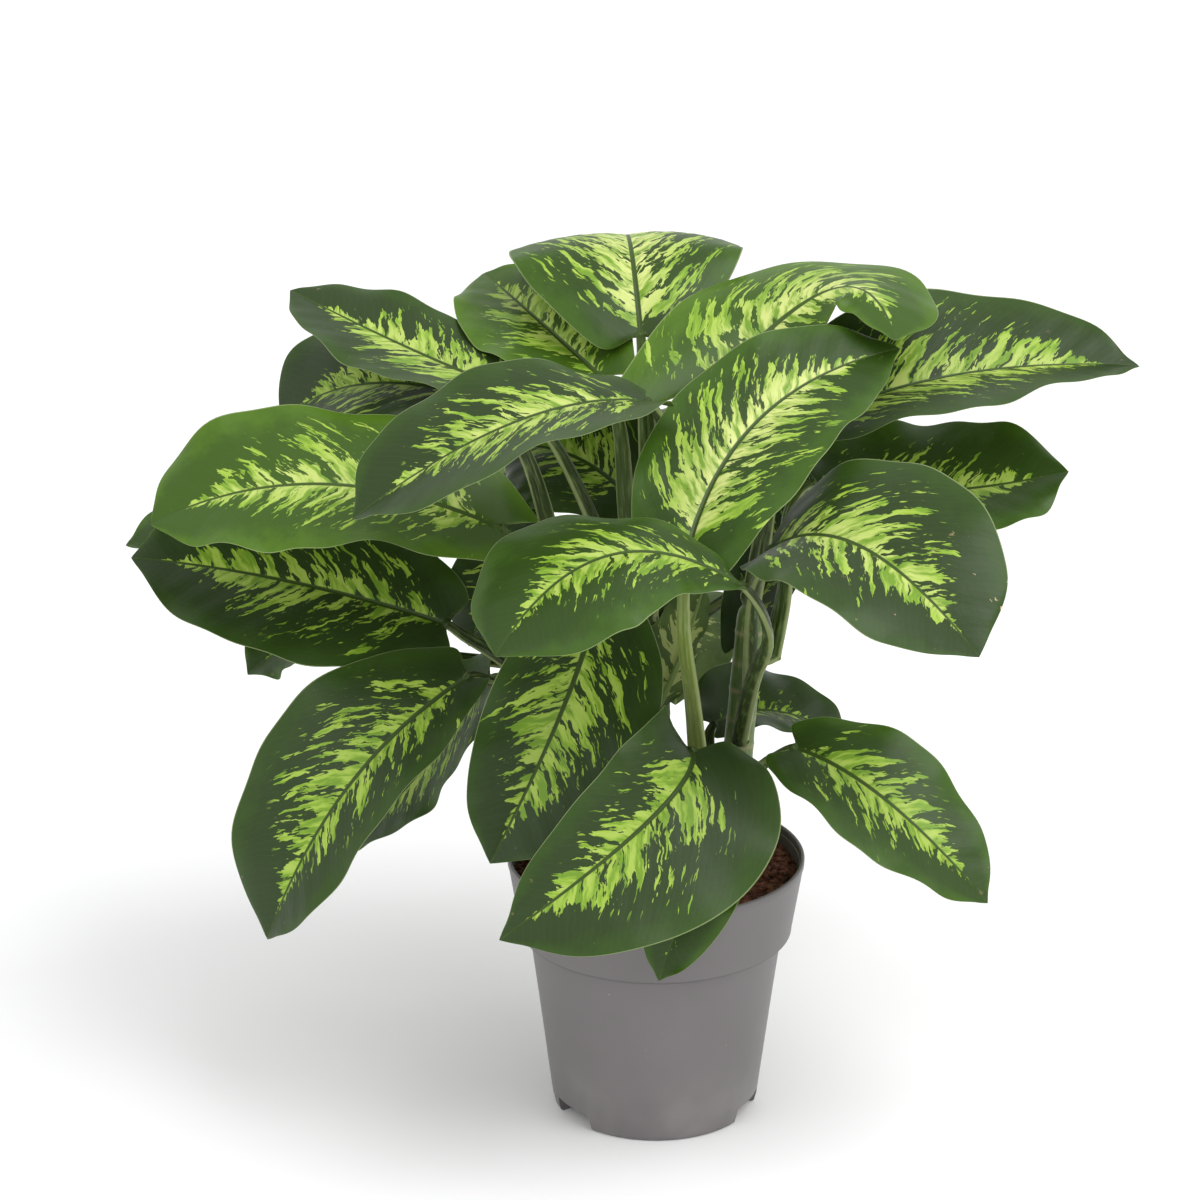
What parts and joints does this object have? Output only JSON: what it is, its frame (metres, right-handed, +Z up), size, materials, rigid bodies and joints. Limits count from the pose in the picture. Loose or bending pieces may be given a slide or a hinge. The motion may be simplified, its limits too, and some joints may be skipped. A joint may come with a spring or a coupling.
{
  "type": "potted dieffenbachia house plant",
  "caption": "Bushy potted foliage plant with broad pale-blotched leaves on short canes, in a banded plastic nursery pot filled with peat.",
  "frame": {"origin": "middle of the pot's underside, on the surface the pot stands on", "axes": "+Z up along the pot's axis; -Y towards the fuller, lower side of the plant; +X to the right seen from that side"},
  "size_m": [0.583, 0.4354, 0.484],
  "materials": {
    "pot_plastic": "satin moulded polypropylene, warm grey",
    "peat": "coarse damp peat, matt reddish brown",
    "cane": "smooth living stem, satin light green with ring scars",
    "leaf": "thin living leaf, satin, dark green with cream and yellow-green blotches"
  },
  "bodies": {
    "root": {"cane_back": "cane", "cane_crown": "cane", "cane_front": "cane", "cane_left": "cane", "cane_right": "cane", "leaf_back_centre": "leaf", "leaf_back_left": "leaf", "leaf_back_low": "leaf", "leaf_back_right": "leaf", "leaf_centre_left": "leaf", "leaf_centre_long": "leaf", "leaf_crown_curl": "leaf", "leaf_front_centre": "leaf", "leaf_front_low": "leaf", "leaf_front_small": "leaf", "leaf_inner": "leaf", "leaf_inner_upright": "leaf", "leaf_left_behind": "leaf", "leaf_left_big": "leaf", "leaf_left_far": "leaf", "leaf_left_hidden": "leaf", "leaf_left_inner": "leaf", "leaf_left_low": "leaf", "leaf_left_upper": "leaf", "leaf_lower_left": "leaf", "leaf_lower_left_back": "leaf", "leaf_lower_middle": "leaf", "leaf_right_behind": "leaf", "leaf_right_front": "leaf", "leaf_right_low_back": "leaf", "leaf_right_low_front": "leaf", "leaf_right_mid": "leaf", "leaf_right_upper": "leaf", "leaf_top_centre": "leaf", "leaf_top_left": "leaf", "pot": "pot_plastic", "soil": "peat"}
  },
  "joints": []
}
